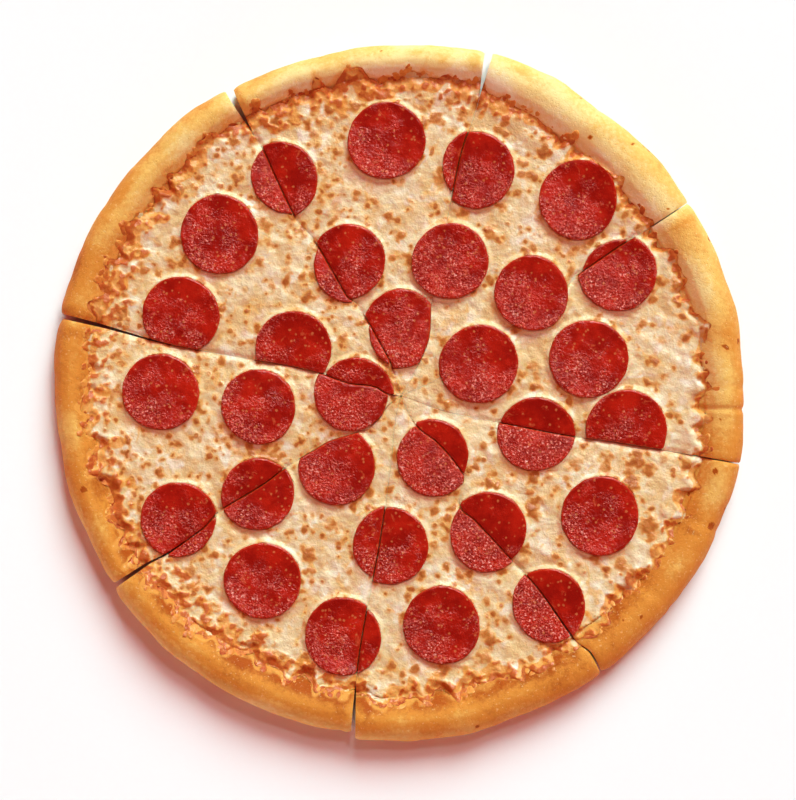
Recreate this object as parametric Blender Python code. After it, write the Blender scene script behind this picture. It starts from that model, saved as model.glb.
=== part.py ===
"""A round pepperoni pizza, cut into eight slices that still lie together.

Lengths are in millimetres until add_object turns them into metres, and places are measured from
the middle of the round of dough. The pizza lies on the plane z = 0. A bearing is the angle
clockwise from +Y, seen from above.
"""
import math

import bmesh
import bpy
import numpy as np
from mathutils import Vector
from mathutils.geometry import delaunay_2d_cdt

MM = 0.001

# The round of dough
RIM_RADIUS = 177.8
BASE_HEIGHT = 8.0
CREST_HEIGHT = 20.3
RIPPLE = 0.35
# The round's middle, placed so that the box round the uneven outline has its middle at x = y = 0
ROUND_MIDDLE = (0.35, 0.86)

# The layers and the toppings
LAYER_GAP = 0.3
CHEESE_HEIGHT = 12.3
CHEESE_EDGE = 0.8
CHEESE_SWELL = 0.2
SWELL_LENGTHS = (19.0, 23.0)
PEPPERONI_THICKNESS = 1.9
PEPPERONI_GAP = 0.55
PEPPERONI_SIDES = 24
# How a pepperoni's edge is out of true: waves round it, their share of the radius, and their turn by number
PEPPERONI_WAVES = ((2, 0.014, 1.0), (3, 0.009, 2.3))
# Points inside a pepperoni: rings by share of the radius, and how clear of the edge they stay
PEPPERONI_RINGS = ((0.0, 1), (0.52, 8))
RING_CLEARANCE = 0.16
SHORTEST_EDGE = 0.8
PROBE = 2.0

# The cuts: where they meet, how near the slices' tips come to it, and how the food dips beside them
MEETING = (0.6, -2.4)
TIP = 1.6
CUT_WIDTH = 0.5
CUT_STEP = 5.0
CHEESE_DIP = 1.3
DOUGH_DIP = 0.5
DIP_REACH = 9.0
MELTED = 18.0
DIPPED = 50.0

# Each cut's route outwards from the meeting point, as it wavers in the food, clockwise from the top
CUTS = (
    ((7, 8.5), (14, 23.5), (16.5, 45.5), (25, 91.5), (31, 120.5), (39.5, 145.5), (43.5, 164), (46, 174.5)),
    ((10.5, 2), (21, 7), (55, 32), (84.5, 53), (90, 59), (110.5, 73), (128.5, 84), (147.5, 96.5)),
    ((6, -4), (16.5, -8), (31, -12), (56.5, -17), (82, -22), (112.5, -26.5), (143, -31.5), (173.5, -37)),
    ((2.5, -7), (8.5, -17.5), (18.5, -25.5), (26, -33.5), (32.5, -42.5), (31, -52), (31, -59.5),
     (38, -65.5), (52, -80.5), (73.5, -104.5), (87.5, -124.5), (97, -133), (103, -143.5)),
    ((-1, -8.5), (-4, -32.5), (-7, -55.5), (-10.5, -78.5), (-15, -101.5), (-20, -129.5), (-24, -177)),
    ((-6, -7), (-10, -13.5), (-15.5, -18.5), (-22.5, -21), (-37.5, -26), (-52.5, -35), (-70.5, -48),
     (-90.5, -60), (-101, -70.5), (-116.5, -81.5), (-129.5, -88.5), (-146, -99.5)),
    ((-6, -1.5), (-12, 2), (-25.5, 4), (-40, 9), (-74.5, 16), (-116, 23.5), (-154.5, 34), (-173, 38.5)),
    ((-4, 13), (-10, 24.5), (-22, 44.5), (-27, 48.5), (-43.5, 77), (-52.5, 87.5), (-62.5, 107.5),
     (-70, 124), (-74.5, 131), (-83.5, 146.5), (-87, 153.5)),
)

# How wide each cut gapes at the rim, and how far in from the rim the gap has closed
GAPES = ((4.0, 20), (0.5, 20), (0.7, 40), (1.0, 60), (2.7, 30), (2.5, 45), (2.5, 60), (4.0, 24))

# Each slice at its first side, its middle and its last side: bare rim's width, and outline in or out
RIM_WIDTHS = (
    (22, 25, 24), (25, 21.5, 22), (20, 21, 26), (25, 23, 23.5),
    (22.5, 22, 20), (19, 18.5, 19), (20.5, 20, 18.5), (17.5, 17.5, 17.5),
)
OUTLINES = (
    (3.0, -0.3, -0.8), (-0.9, -1.3, -0.6), (-0.3, 0.3, -0.6), (-0.6, 0.5, 2.2),
    (-1.0, -0.3, 0.3), (-0.4, -1.3, 0.2), (1.1, 0.9, 0.6), (-0.6, -0.7, 1.5),
)

# The rim's section: the share of its width in from the outline, and the height there
UNDERSIDE = ((0.08, 2.2), (0.0, 8.0), (0.07, 14.0))
SHOULDER = ((0.25, 18.6), (0.5, CREST_HEIGHT), (0.72, 18.9), (0.9, 15.6), (1.0, 13.2))
# How far the dough's slope and the cheese's slope run in past the rim, and a point half way down the dough's
SLOPE_FOOT = 10.0
SLOPE_BEND = (0.45, 2.0)
CHEESE_FOOT = 14.0

# Where the bodies' rows lie: shares of the way across a slice, and of the way out to the rim's foot
ACROSS = (0.0, 0.06, 0.16, 0.32, 0.5, 0.68, 0.84, 0.94, 1.0)
OUTWARDS = (0.0, 0.13, 0.25, 0.35, 0.45, 0.57, 0.71, 0.85, 1.0)

# Each pepperoni: its number, diameter, and for each piece the slice it lies on and its centre
# Slice 0 stands for a whole piece that lies across a cut
PEPPERONI = (
    (1, 39.3, ((8, -6.8, 127.5),)),
    (2, 39.0, ((7, -55.8, 109.6), (8, -61.4, 107.6))),
    (3, 39.2, ((8, 41.4, 114.0), (1, 38.6, 112.7))),
    (4, 39.9, ((7, -91.7, 79.8),)),
    (5, 40.0, ((1, 90.7, 97.4),)),
    (6, 37.9, ((7, -24.9, 64.5), (8, -26.4, 66.0))),
    (7, 38.8, ((0, 25.6, 66.2),)),
    (8, 39.4, ((1, 112.9, 57.8), (2, 110.8, 60.4))),
    (9, 39.1, ((7, -111.4, 38.7),)),
    (10, 37.8, ((0, 67.0, 49.9),)),
    (11, 39.2, ((7, -54.2, 21.0),)),
    (12, 39.9, ((7, 4.2, 31.8), (8, 0.6, 31.8))),
    (13, 40.0, ((0, 40.2, 13.9),)),
    (14, 39.8, ((2, 96.0, 16.5),)),
    (15, 38.8, ((6, -121.6, -0.4),)),
    (16, 37.8, ((6, -71.9, -7.8),)),
    (17, 38.2, ((7, -22.0, -2.2), (6, -24.9, -0.9))),
    (18, 39.3, ((5, -32.0, -38.1),)),
    (19, 38.8, ((3, 15.4, -33.5), (4, 18.0, -34.0))),
    (20, 39.2, ((2, 69.5, -22.6), (3, 69.3, -21.0))),
    (21, 40.8, ((2, 115.4, -19.5),)),
    (22, 38.8, ((6, -112.4, -65.7), (5, -113.2, -64.7))),
    (23, 38.6, ((6, -71.9, -53.7), (5, -72.9, -51.1))),
    (24, 39.8, ((3, 101.9, -63.4),)),
    (25, 39.0, ((3, 44.8, -70.8), (4, 45.0, -72.3))),
    (26, 39.2, ((4, -5.3, -78.9), (5, -4.0, -77.7))),
    (27, 38.8, ((5, -69.8, -96.3),)),
    (28, 39.5, ((4, -29.5, -125.4), (5, -28.5, -124.6))),
    (29, 39.3, ((4, 21.3, -119.0),)),
    (30, 38.7, ((3, 75.1, -109.8), (4, 76.4, -108.0))),
)
SLICES = range(1, 9)


def remove_old_objects():
    for old in list(bpy.data.objects):
        bpy.data.objects.remove(old, do_unlink=True)


def make_material(name, colour, roughness):
    material = bpy.data.materials.new(name)
    material.use_nodes = True
    shader = material.node_tree.nodes["Principled BSDF"]
    shader.inputs["Base Color"].default_value = (*colour, 1.0)
    shader.inputs["Roughness"].default_value = roughness
    shader.inputs["Metallic"].default_value = 0.0
    return material


def crust_material():
    return make_material("baked_dough", (0.72, 0.34, 0.10), 0.6)


def cheese_material():
    return make_material("melted_cheese", (0.84, 0.62, 0.32), 0.4)


def pepperoni_material():
    return make_material("pepperoni", (0.42, 0.04, 0.02), 0.35)


def add_object(name, mesh_data, material):
    """Turns a bmesh in millimetres round the dough's middle into a named object in metres."""
    bmesh.ops.translate(mesh_data, vec=Vector((*ROUND_MIDDLE, 0.0)), verts=mesh_data.verts)
    bmesh.ops.scale(mesh_data, vec=Vector((MM, MM, MM)), verts=mesh_data.verts)
    bmesh.ops.recalc_face_normals(mesh_data, faces=mesh_data.faces)
    mesh = bpy.data.meshes.new(name)
    mesh_data.to_mesh(mesh)
    mesh_data.free()
    mesh.materials.append(material)
    mesh.shade_smooth()
    mesh.set_sharp_from_angle(angle=math.radians(50))
    made = bpy.data.objects.new(name, mesh)
    bpy.context.scene.collection.objects.link(made)
    return made


def smooth_step(value):
    share = min(max(value, 0.0), 1.0)
    return share * share * (3 - 2 * share)


def through(values, share):
    """The parabola through three values at 0, 0.5 and 1."""
    first, middle, last = values
    bend = first + last - 2 * middle
    return first + share * (4 * middle - 3 * first - last) + 2 * bend * share * share


def smooth_line(xs, ys, x):
    """A smooth curve through the given points that doesn't swing past them."""
    steps = np.diff(xs)
    slopes = np.diff(ys) / steps
    tangents = np.zeros(len(xs))
    for i in range(1, len(xs) - 1):
        if slopes[i - 1] * slopes[i] > 0:
            tangents[i] = 2 * slopes[i - 1] * slopes[i] / (slopes[i - 1] + slopes[i])
    tangents[0], tangents[-1] = slopes[0], slopes[-1]
    i = min(max(int(np.searchsorted(xs, x)) - 1, 0), len(steps) - 1)
    t = (x - xs[i]) / steps[i]
    if not 0 <= t <= 1:
        end = 0 if t < 0 else -1
        return ys[end] + (x - xs[end]) * tangents[end] * (t > 1)
    start = ys[i] * (1 + 2 * t) * (1 - t) ** 2 + ys[i + 1] * t * t * (3 - 2 * t)
    return start + steps[i] * (tangents[i] * t * (1 - t) ** 2 - tangents[i + 1] * t * t * (1 - t))


def polar(x, y):
    """Distance and bearing from the point where the cuts meet."""
    across, up = x - MEETING[0], y - MEETING[1]
    return math.hypot(across, up), math.atan2(across, up)


def place(distance, bearing):
    return MEETING[0] + distance * math.sin(bearing), MEETING[1] + distance * math.cos(bearing)


def read_cut(route):
    """A cut's distances from the meeting point and its bearings there."""
    points = [polar(*point) for point in route]
    distances = np.array([point[0] for point in points])
    bearings = np.unwrap([point[1] for point in points])
    return distances, bearings


CUT_LINES = [read_cut(route) for route in CUTS]


def cut_bearing(cut, distance):
    """The bearing of cut 1 to 8 at a distance; cut 9 is cut 1, a full turn on."""
    bearing = smooth_line(*CUT_LINES[(cut - 1) % 8], distance) % (2 * math.pi)
    return bearing + 2 * math.pi * (cut == 9)


def cut_width(cut, distance):
    gape, reach = GAPES[(cut - 1) % 8]
    opened = (distance - (RIM_RADIUS - reach)) / reach
    return CUT_WIDTH + (gape - CUT_WIDTH) * min(max(opened, 0.0), 1.1)


def slice_sides(slice_no, distance):
    """The bearings of a slice's two sides at a distance from the meeting point."""
    first = cut_bearing(slice_no, distance) + cut_width(slice_no, distance) / 2 / distance
    last = cut_bearing(slice_no + 1, distance) - cut_width(slice_no + 1, distance) / 2 / distance
    return first, last


def bearing_at(slice_no, share, distance):
    first, last = slice_sides(slice_no, distance)
    return first + (last - first) * share


def outline_radius(slice_no, share):
    ripple = math.sin(11 * share + 5 * slice_no) + 0.6 * math.sin(23 * share + 2 * slice_no)
    return RIM_RADIUS + through(OUTLINES[slice_no - 1], share) + RIPPLE * ripple


def outline_distance(slice_no, share):
    """From the meeting point out to the rim's outline, which is round the origin."""
    distance = RIM_RADIUS
    middle = Vector(MEETING)
    for _ in range(4):
        bearing = bearing_at(slice_no, share, distance)
        along = middle.dot(Vector((math.sin(bearing), math.cos(bearing))))
        radius = outline_radius(slice_no, share)
        distance = -along + math.sqrt(radius ** 2 - middle.length_squared + along ** 2)
    return distance


def rim_width(slice_no, share):
    return through(RIM_WIDTHS[slice_no - 1], share)


def dip(slice_no, share, distance):
    """1 beside a cut, fading into the slice and towards the melted middle of the pizza."""
    first, last = slice_sides(slice_no, distance)
    to_side = distance * (last - first) * min(share, 1 - share)
    melted = smooth_step((distance - MELTED) / (DIPPED - MELTED))
    return math.exp(-max(to_side, 0.0) / DIP_REACH) * melted


def section(inward, width, foot, foot_height):
    """Height of the rim's inner side, or of what lies on it, at a distance in from the outline."""
    rows = [(share * width, height) for share, height in SHOULDER]
    rows.append((width + foot, foot_height))
    if foot_height > BASE_HEIGHT:
        rows[-2] = (width, SHOULDER[-1][1] + LAYER_GAP + CHEESE_EDGE)
    else:
        rows.insert(-1, (width + SLOPE_BEND[0] * foot, BASE_HEIGHT + SLOPE_BEND[1]))
    xs, ys = zip(*rows)
    return smooth_line(np.array(xs), np.array(ys), min(inward, xs[-1]))


def dough_top(slice_no, share, distance, inward):
    height = section(inward, rim_width(slice_no, share), SLOPE_FOOT, BASE_HEIGHT)
    fade = smooth_step((inward - rim_width(slice_no, share)) / SLOPE_FOOT)
    return height - DOUGH_DIP * dip(slice_no, share, distance) * fade


def cheese_top(slice_no, share, distance, inward, with_dip=True):
    width = rim_width(slice_no, share)
    height = section(max(inward, width), width, CHEESE_FOOT, CHEESE_HEIGHT)
    fade = smooth_step((inward - width) / CHEESE_FOOT)
    x, y = place(distance, bearing_at(slice_no, share, distance))
    swell = CHEESE_SWELL * math.sin(x / SWELL_LENGTHS[0] + slice_no) * math.cos(y / SWELL_LENGTHS[1])
    sunk = CHEESE_DIP * dip(slice_no, share, distance) if with_dip else 0.0
    return height + (swell - sunk) * fade


def column_points(slice_no, share, inward_steps):
    """Distances, bearings and insets of a column of rows that ends at the given insets."""
    outline = outline_distance(slice_no, share)
    foot = outline - rim_width(slice_no, share) - SLOPE_FOOT
    distances = [TIP + (foot - TIP) * step for step in OUTWARDS]
    distances += [outline - inward for inward in inward_steps]
    return [(d, bearing_at(slice_no, share, d), outline - d) for d in distances]


def dough_column(slice_no, share):
    width = rim_width(slice_no, share)
    steps = [width + SLOPE_BEND[0] * SLOPE_FOOT] + [s * width for s, _ in reversed(SHOULDER)]
    lower, upper = [], []
    for distance, bearing, inward in column_points(slice_no, share, steps):
        x, y = place(distance, bearing)
        lower.append((x, y, 0.0))
        upper.append((x, y, dough_top(slice_no, share, distance, inward)))
    outline = outline_distance(slice_no, share)
    nose = []
    for inset, height in UNDERSIDE:
        distance = outline - inset * width
        nose.append((*place(distance, bearing_at(slice_no, share, distance)), height))
    return lower, nose, upper


def cheese_column(slice_no, share):
    width = rim_width(slice_no, share)
    steps = [width + SLOPE_BEND[0] * SLOPE_FOOT, width]
    lower, upper = [], []
    for distance, bearing, inward in column_points(slice_no, share, steps):
        x, y = place(distance, bearing)
        lower.append((x, y, dough_top(slice_no, share, distance, inward) + LAYER_GAP))
        upper.append((x, y, cheese_top(slice_no, share, distance, inward)))
    return lower, [], upper


def wedge(columns):
    """A closed wedge: each column is a ring of rows, and the first and last column are its cut faces."""
    body = bmesh.new()
    rows = len(columns[0][0])
    rings = []
    for lower, nose, upper in columns:
        rings.append([body.verts.new(point) for point in lower + nose + upper[::-1]])
    count = len(rings[0])
    for ring, following in zip(rings, rings[1:]):
        for i in range(count):
            j = (i + 1) % count
            corners = (ring[i], ring[j], following[j], following[i])
            turn = i >= rows
            for picked in ((0, 1, 2), (0, 2, 3)) if not turn else ((1, 2, 3), (1, 3, 0)):
                body.faces.new([corners[p] for p in picked])
    for ring in (rings[0], rings[-1]):
        for i in range(rows - 1):
            body.faces.new((ring[i], ring[i + 1], ring[count - 2 - i], ring[count - 1 - i]))
        if count > 2 * rows:
            body.faces.new(ring[rows - 1:count - rows + 1])
    return body


def add_slice_layer(layer_name, slice_no, column, material):
    columns = [column(slice_no, share) for share in ACROSS]
    return add_object(f"{layer_name}_{slice_no}", wedge(columns), material)


def resting_height(x, y, slice_no):
    """The highest that the food's surface comes near a point, for a topping to lie on."""
    near = ((0, 0), (PROBE, 0), (-PROBE, 0), (0, PROBE), (0, -PROBE))
    return max(surface_height(x + across, y + up, slice_no) for across, up in near)


def surface_height(x, y, slice_no):
    """Height of the food's surface under a topping, on the given slice or, for 0, across the cuts."""
    distance, bearing = polar(x, y)
    owner = slice_no
    if owner == 0:
        owner = owner_of(distance, bearing)
    first, last = slice_sides(owner, distance)
    share = ((bearing - first + math.pi) % (2 * math.pi) - math.pi) / (last - first)
    share = min(max(share, 0.0), 1.0)
    inward = outline_distance(owner, share) - distance
    cheese = cheese_top(owner, share, distance, inward, with_dip=slice_no != 0)
    return max(cheese, dough_top(owner, share, distance, inward))


def owner_of(distance, bearing):
    """The slice that a place lies on."""
    for slice_no in SLICES:
        first, last = cut_bearing(slice_no, distance), cut_bearing(slice_no + 1, distance)
        if (bearing - first) % (2 * math.pi) < last - first:
            return slice_no


def disc_outline(number, radius, x, y):
    """A pepperoni's edge, a circle that is a little out of true."""
    points = []
    for i in range(PEPPERONI_SIDES):
        angle = 2 * math.pi * i / PEPPERONI_SIDES
        uneven = 1.0
        for times, size, turn in PEPPERONI_WAVES:
            uneven += size * math.sin(times * angle + turn * number)
        points.append((x + radius * uneven * math.cos(angle), y + radius * uneven * math.sin(angle)))
    return points


def beyond_cut(point, cut, side):
    """How far a point lies on the kept side of a cut's edge."""
    distance, bearing = polar(*point)
    turn = (bearing - cut_bearing(cut, distance) + math.pi) % (2 * math.pi) - math.pi
    return side * turn * distance - cut_width(cut, distance) / 2


def crossing(start, end, cut, side):
    """The point between two points where the outline meets the cut's edge."""
    low, high = Vector(start), Vector(end)
    kept = beyond_cut(low, cut, side) > 0
    for _ in range(30):
        middle = (low + high) / 2
        if (beyond_cut(middle, cut, side) > 0) == kept:
            low = middle
        else:
            high = middle
    return tuple((low + high) / 2)


def cut_edge(start, end, cut, side):
    """Points along the cut's edge from one place on it to another, at the same steps on either side."""
    first, last = polar(*start)[0], polar(*end)[0]
    steps = range(math.ceil(min(first, last) / CUT_STEP), math.ceil(max(first, last) / CUT_STEP))
    points = []
    for step in sorted(steps, reverse=first > last):
        distance = step * CUT_STEP
        offset = side * cut_width(cut, distance) / 2 / distance
        points.append(place(distance, cut_bearing(cut, distance) + offset))
    return points


def clipped(points, cut, side):
    """The part of an outline on one side of a cut: side 1 is clockwise of it and -1 the other."""
    inside = [beyond_cut(point, cut, side) > 0 for point in points]
    if all(inside):
        return points
    count = len(points)
    start = next(i for i in range(count) if inside[i] and not inside[i - 1])
    kept = []
    for step in range(count):
        i = (start + step) % count
        if not inside[i]:
            break
        kept.append(points[i])
    leaving = crossing(kept[-1], points[i], cut, side)
    entering = crossing(points[start], points[start - 1], cut, side)
    return [entering] + kept + [leaving] + cut_edge(leaving, entering, cut, side)


def without_slivers(points):
    """Drops points that almost touch the one before."""
    kept = []
    for point in points:
        if not kept or (Vector(point) - Vector(kept[-1])).length > SHORTEST_EDGE:
            kept.append(point)
    if (Vector(kept[0]) - Vector(kept[-1])).length < SHORTEST_EDGE:
        kept.pop()
    return kept


def inner_points(outline, x, y, radius):
    """Two rings of points inside an outline, clear of its edge."""
    found = []
    for share, count in PEPPERONI_RINGS:
        for i in range(count):
            angle = 2 * math.pi * (i + 0.5) / count
            point = Vector((x + share * radius * math.cos(angle), y + share * radius * math.sin(angle)))
            if clear_inside(point, outline, RING_CLEARANCE * radius):
                found.append(point)
    return found


def clear_inside(point, outline, margin):
    inside = False
    for start, end in zip(outline, outline[1:] + outline[:1]):
        a, b = Vector(start), Vector(end)
        share = min(max((point - a).dot(b - a) / (b - a).length_squared, 0.0), 1.0)
        if (a + (b - a) * share - point).length < margin:
            return False
        if (a.y > point.y) != (b.y > point.y):
            inside ^= point.x < a.x + (point.y - a.y) / (b.y - a.y) * (b.x - a.x)
    return inside


def pepperoni_body(outline, middle, radius, slice_no):
    """A disc, or the part of one inside an outline, that lies on the food's surface."""
    corners = [Vector(point) for point in outline]
    edges = [(i, (i + 1) % len(corners)) for i in range(len(corners))]
    flat, _, faces, *_ = delaunay_2d_cdt(corners + inner_points(outline, *middle, radius), edges, [], 1, 1e-4)
    body = bmesh.new()
    lower, upper = [], []
    for point in flat:
        height = resting_height(point.x, point.y, slice_no) + PEPPERONI_GAP
        lower.append(body.verts.new((point.x, point.y, height)))
        upper.append(body.verts.new((point.x, point.y, height + PEPPERONI_THICKNESS)))
    for face in faces:
        body.faces.new([lower[i] for i in face])
        body.faces.new([upper[i] for i in reversed(face)])
    for edge in [e for e in body.edges if e.is_boundary and e.verts[0] in lower]:
        a, b = (lower.index(vert) for vert in edge.verts)
        body.faces.new((lower[a], lower[b], upper[b], upper[a]))
    return body


def add_pepperoni(number, diameter, pieces, material):
    for letter, (slice_no, x, y) in zip("ab", pieces):
        outline = disc_outline(number, diameter / 2, x, y)
        if slice_no:
            outline = clipped(outline, slice_no, 1)
            outline = without_slivers(clipped(outline, slice_no + 1, -1))
        name = f"pepperoni_{number:02d}{letter if len(pieces) > 1 else ''}"
        add_object(name, pepperoni_body(outline, (x, y), diameter / 2, slice_no), material)


def build():
    remove_old_objects()
    crust, cheese, pepperoni = crust_material(), cheese_material(), pepperoni_material()
    for slice_no in SLICES:
        add_slice_layer("crust", slice_no, dough_column, crust)
        add_slice_layer("cheese", slice_no, cheese_column, cheese)
    for number, diameter, pieces in PEPPERONI:
        add_pepperoni(number, diameter, pieces, pepperoni)


build()
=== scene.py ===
import math

import bpy
import numpy as np
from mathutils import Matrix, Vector
from mathutils.geometry import delaunay_2d_cdt
from mathutils.kdtree import KDTree


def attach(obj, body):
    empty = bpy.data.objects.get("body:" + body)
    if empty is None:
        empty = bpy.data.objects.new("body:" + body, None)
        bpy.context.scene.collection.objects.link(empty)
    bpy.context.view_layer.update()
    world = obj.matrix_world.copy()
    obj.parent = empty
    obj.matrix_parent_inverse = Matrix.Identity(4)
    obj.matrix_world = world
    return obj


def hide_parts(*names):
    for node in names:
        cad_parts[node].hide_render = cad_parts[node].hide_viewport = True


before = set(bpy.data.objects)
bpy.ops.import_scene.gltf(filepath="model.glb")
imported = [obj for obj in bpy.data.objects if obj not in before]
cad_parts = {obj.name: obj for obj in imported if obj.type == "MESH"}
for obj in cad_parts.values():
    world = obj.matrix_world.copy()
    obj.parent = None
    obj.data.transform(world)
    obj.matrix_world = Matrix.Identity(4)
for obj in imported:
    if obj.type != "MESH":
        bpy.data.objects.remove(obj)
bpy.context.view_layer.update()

# Studio: a white floor, broad window light from beyond the top, a weak card on the near side, a lamp for sheen,
# and rosy air that fills the shadows. The window is two suns, one warm and one cool, that light matt surfaces,
# and one neutral sun for gloss. The camera looks straight down. Lengths are millimetres until a piece is added.
MM = 0.001
PHOTO_WIDTH, PHOTO_HEIGHT = 796, 800
ROUND_MIDDLE_PIXEL = (399.8, 391.3)
MM_PER_PIXEL = 0.5103
CAMERA_HEIGHT = 1500.0
SHARP_HEIGHT = 9.0
ROUND_MIDDLE = np.array((0.35, 0.86, 0.0))


def shade(red, green, blue):
    """A colour as a screen shows it, from 0 to 255, as the linear values that a shader takes."""
    levels = [level / 255 for level in (red, green, blue)]
    linear = [level / 12.92 if level <= 0.04045 else ((level + 0.055) / 1.055) ** 2.4 for level in levels]
    return (*linear, 1.0)


class Field:
    """A socket's value on its way to a shader; sums on it add Math nodes to the finish it belongs to."""

    def __init__(self, finish, socket):
        self.finish, self.socket = finish, socket

    def sum_with(self, operation, *values):
        return self.finish.node("Math", {"operation": operation}, dict(enumerate(values)))

    def __add__(self, other):
        return self.sum_with("ADD", self, other)

    def __sub__(self, other):
        return self.sum_with("SUBTRACT", self, other)

    def __rsub__(self, other):
        return self.sum_with("SUBTRACT", other, self)

    def __mul__(self, other):
        return self.sum_with("MULTIPLY", self, other)

    __radd__, __rmul__ = __add__, __mul__

    def most(self, other):
        return self.sum_with("MAXIMUM", self, other)

    def over(self, start, full):
        """0 before start and 1 past full, with a soft change between; full may be the lower of the two."""
        sockets = {"Value": self, "From Min": start, "From Max": full}
        return self.finish.node("MapRange", {"interpolation_type": "SMOOTHSTEP"}, sockets)

    def tint(self, bare, full):
        """The colour bare where this is 0 and full where it is 1."""
        return self.finish.node("Mix", {"data_type": "RGBA"}, {0: self, 6: bare, 7: full}, 2)


class Finish:
    """A material, or the air, whose nodes are added by method calls and by sums on the fields they return."""

    def __init__(self, name, kinds=bpy.data.materials, shader="Principled BSDF", **plain):
        self.owner = kinds.new(name)
        self.owner.use_nodes = True
        self.tree = self.owner.node_tree
        self.shader = self.tree.nodes[shader]
        self.wear(**plain)

    def node(self, kind, settings=None, sockets=None, out=0):
        made = self.tree.nodes.new("ShaderNode" + kind)
        for setting, value in (settings or {}).items():
            setattr(made, setting, value)
        for socket, value in (sockets or {}).items():
            self.feed(made.inputs[socket], value)
        return Field(self, made.outputs[out])

    def feed(self, socket, value):
        if isinstance(value, Field):
            self.tree.links.new(value.socket, socket)
        else:
            socket.default_value = value

    def wear(self, **fields):
        for socket, value in fields.items():
            self.feed(self.shader.inputs[socket.replace("_", " ")], value)

    def coats(self, body, *layers):
        """The colour body under layers: each is a mask, where it starts and is full, a strength and a colour."""
        for mask, start, full, strength, colour in layers:
            body = (mask.over(start, full) * strength).tint(body, shade(*colour))
        return body

    def stored(self, name):
        """A field that the mesh holds at its points."""
        return self.node("Attribute", {"attribute_name": name}, {}, 2)

    def place(self):
        return self.node("TexCoord", {}, {}, 3)

    def clouds(self, size, detail=2.0, roughness=0.5, twist=0.0):
        """Soft noise from 0 to 1 whose lumps are about size millimetres across."""
        sockets = {"Vector": self.place(), "Scale": 1 / (size * MM * 2), "Detail": detail,
                   "Roughness": roughness, "Distortion": twist}
        return self.node("TexNoise", {}, sockets)

    def cells(self, size):
        """Distance to the nearest of scattered points, in their spacings of about size millimetres."""
        return self.node("TexVoronoi", {}, {"Vector": self.place(), "Scale": 1 / (size * MM)})

    def dots(self, size):
        """Distance to the nearest of many scattered dots, in dot spacings, and a chance value for that dot."""
        sockets = {"Vector": self.place(), "Scale": 1 / (size * MM), "Randomness": 0.9}
        distance = self.node("TexVoronoi", {}, sockets)
        colour = Field(self, distance.socket.node.outputs["Color"])
        return distance, self.node("SeparateColor", {}, {0: colour})

    def bump(self, height, depth):
        """A normal that height, from 0 to 1, raises by depth millimetres."""
        return self.node("Bump", {}, {"Height": height, "Distance": depth * MM, "Strength": 1.0})


def hang_lamp(name, kind, place, energy, colour, gloss=True, matt=True, **settings):
    """A lamp that faces the food and lights its gloss, its matt colour or both."""
    lamp = bpy.data.lights.new(name, kind)
    lamp.energy, lamp.color = energy, colour
    for setting, value in settings.items():
        setattr(lamp, setting, value)
    holder = bpy.data.objects.new(name, lamp)
    holder.location = place
    holder.visible_glossy, holder.visible_diffuse = gloss, matt
    holder.rotation_euler = (-Vector(place)).to_track_quat("-Z", "Y").to_euler()
    bpy.context.scene.collection.objects.link(holder)


def set_camera():
    """A camera over the food whose frame is the photograph's at the height of the cheese."""
    lens = bpy.data.cameras.new("menu_camera")
    lens.sensor_fit, lens.sensor_width = "HORIZONTAL", 36.0
    lens.lens = lens.sensor_width * (CAMERA_HEIGHT - SHARP_HEIGHT) / (PHOTO_WIDTH * MM_PER_PIXEL)
    camera = bpy.data.objects.new("menu_camera", lens)
    right = (PHOTO_WIDTH / 2 - ROUND_MIDDLE_PIXEL[0]) * MM_PER_PIXEL
    up = (ROUND_MIDDLE_PIXEL[1] - PHOTO_HEIGHT / 2) * MM_PER_PIXEL
    camera.location = ((ROUND_MIDDLE[0] + right) * MM, (ROUND_MIDDLE[1] + up) * MM, CAMERA_HEIGHT * MM)
    bpy.context.scene.collection.objects.link(camera)
    bpy.context.scene.camera = camera


def light_studio():
    """The lamps, and the air: redder low down than overhead, and plain white where the camera sees it."""
    hang_lamp("warm_window", "SUN", (0.70, 2.08, 1.78), 2.72, (1.0, 0.30, 0.31), gloss=False, angle=0.50)
    hang_lamp("cool_window", "SUN", (0.70, 2.08, 1.50), 3.76, (0.0, 1.0, 1.0), gloss=False, angle=0.60)
    hang_lamp("fill_card", "SUN", (-0.60, -2.25, 0.24), 0.92, (0.66, 1.0, 0.90), gloss=False, angle=0.7)
    hang_lamp("gloss_window", "SUN", (0.70, 2.08, 1.64), 2.9, (1.0, 0.94, 0.92), matt=False, angle=0.46)
    hang_lamp("sheen_lamp", "AREA", (0.80, 1.35, 2.80), 13.0, (1.0, 0.86, 0.84), shape="DISK", size=0.4)
    air = Finish("studio_air", bpy.data.worlds, "Background")
    height = air.node("SeparateXYZ", {}, {0: air.node("TexCoord")}, 2)
    overhead = air.node("MapRange", {}, {"Value": height, "From Min": 0.62, "From Max": 0.84})
    air.wear(Color=overhead.tint((0.60, 0.05, 0.05, 1.0), (0.10, 0.045, 0.045, 1.0)))
    seen = air.node("Background", {}, {"Color": (1.0, 1.0, 1.0, 1.0)})
    lit = Field(air, air.shader.outputs[0])
    surface = air.node("MixShader", {}, {0: air.node("LightPath"), 1: lit, 2: seen})
    air.feed(air.tree.nodes["World Output"].inputs["Surface"], surface)
    bpy.context.scene.world = air.owner
    bpy.context.scene.view_settings.view_transform = "Standard"


def lay_floor():
    bpy.ops.mesh.primitive_plane_add(size=6.0, location=(0.0, 0.0, -0.0003))
    floor = bpy.context.object
    floor.name = "white_floor"
    floor.data.materials.append(Finish("white_floor", Base_Color=(0.97, 0.97, 0.97, 1.0), Roughness=0.9).owner)


set_camera()
light_studio()
lay_floor()

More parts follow.
